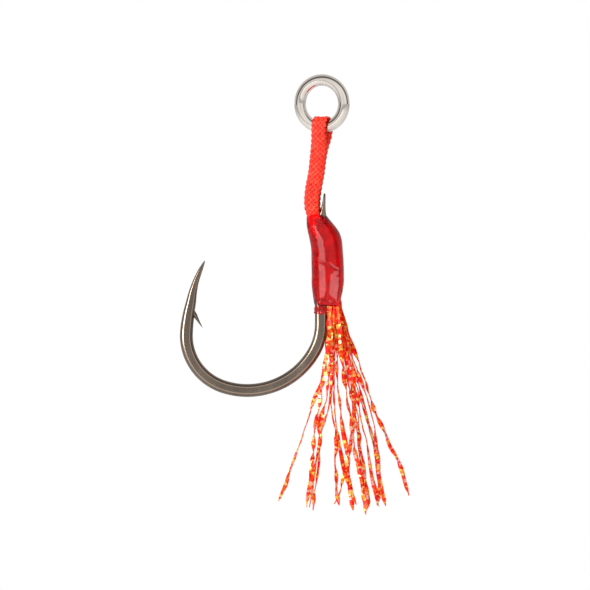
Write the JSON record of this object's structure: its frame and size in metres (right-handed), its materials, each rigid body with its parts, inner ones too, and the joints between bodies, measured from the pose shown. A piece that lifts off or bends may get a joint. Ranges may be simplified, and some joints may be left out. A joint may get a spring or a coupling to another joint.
{
  "type": "single assist fishing hook",
  "caption": "Barbed spade-end fishing hook on a short doubled braided cord from a solid ring, bound under a clear red coat, with a tuft of glitter tinsel.",
  "frame": {"origin": "centre of the solid ring", "axes": "+Z from the hook up to the ring; the hook lies in the XZ plane with its point on the -X side; the broad view is seen from -Y"},
  "size_m": [0.037, 0.0101, 0.0704],
  "materials": {
    "ring_steel": "polished stainless steel",
    "hook_steel": "smooth dark nickel plating, warm grey-brown",
    "cord": "matt braided fibre",
    "thread": "fine thread soaked in resin",
    "resin": "clear red, high gloss",
    "tinsel": "translucent red film with gold glitter"
  },
  "bodies": {
    "ring": {"solid_ring": "ring_steel"},
    "cord_eye": {"cord_eye": "cord"},
    "cord_upper": {"cord_upper": "cord"},
    "cord_lower": {"cord_lower": "cord"},
    "hook": {"hook": "hook_steel", "cord_bound_end": "cord", "main_whipping": "thread", "tail_whipping": "thread", "resin_coat": "resin", "tinsel_butts": "tinsel"},
    "tinsel_front": {"tinsel_front_1": "tinsel", "tinsel_front_2": "tinsel", "tinsel_front_3": "tinsel", "tinsel_front_4": "tinsel", "tinsel_front_5": "tinsel", "tinsel_front_6": "tinsel"},
    "tinsel_back": {"tinsel_back_1": "tinsel", "tinsel_back_2": "tinsel", "tinsel_back_3": "tinsel", "tinsel_back_4": "tinsel", "tinsel_back_5": "tinsel"},
    "tinsel_outer": {"tinsel_outer_1": "tinsel", "tinsel_outer_2": "tinsel", "tinsel_outer_3": "tinsel", "tinsel_outer_4": "tinsel", "tinsel_outer_5": "tinsel"}
  },
  "joints": [
    {"name": "ring_swing", "type": "hinge", "parent": "ring", "child": "cord_eye", "pos_m": [0, 0, -0.00378], "axis": [0.9272, -0.3746, 0], "range_deg": [-135, 135]},
    {"name": "cord_side_bend", "type": "hinge", "parent": "cord_eye", "child": "cord_upper", "pos_m": [-0.00045, 0, -0.0074], "axis": [0, 1, 0], "range_deg": [-40, 40], "stiffness_Nm_per_rad": 0.002},
    {"name": "cord_fold", "type": "hinge", "parent": "cord_upper", "child": "cord_lower", "pos_m": [-0.00088, 0, -0.0109], "axis": [1, 0, 0], "range_deg": [-55, 55], "stiffness_Nm_per_rad": 0.002},
    {"name": "cord_root_bend", "type": "hinge", "parent": "cord_lower", "child": "hook", "pos_m": [-0.00145, 0, -0.014], "axis": [0, 1, 0], "range_deg": [-35, 35], "stiffness_Nm_per_rad": 0.002},
    {"name": "tinsel_front_flare", "type": "hinge", "parent": "hook", "child": "tinsel_front", "pos_m": [0.0019, -0.0004, -0.03265], "axis": [-1, 0, 0], "range_deg": [-0.5, 35], "stiffness_Nm_per_rad": 0.00002},
    {"name": "tinsel_back_flare", "type": "hinge", "parent": "hook", "child": "tinsel_back", "pos_m": [0.0019, 0.0004, -0.03265], "axis": [1, 0, 0], "range_deg": [-0.5, 35], "stiffness_Nm_per_rad": 0.00002},
    {"name": "tinsel_outer_flare", "type": "hinge", "parent": "hook", "child": "tinsel_outer", "pos_m": [0.0019, 0, -0.03265], "axis": [0, -1, 0], "range_deg": [-0.5, 40], "stiffness_Nm_per_rad": 0.00002}
  ]
}
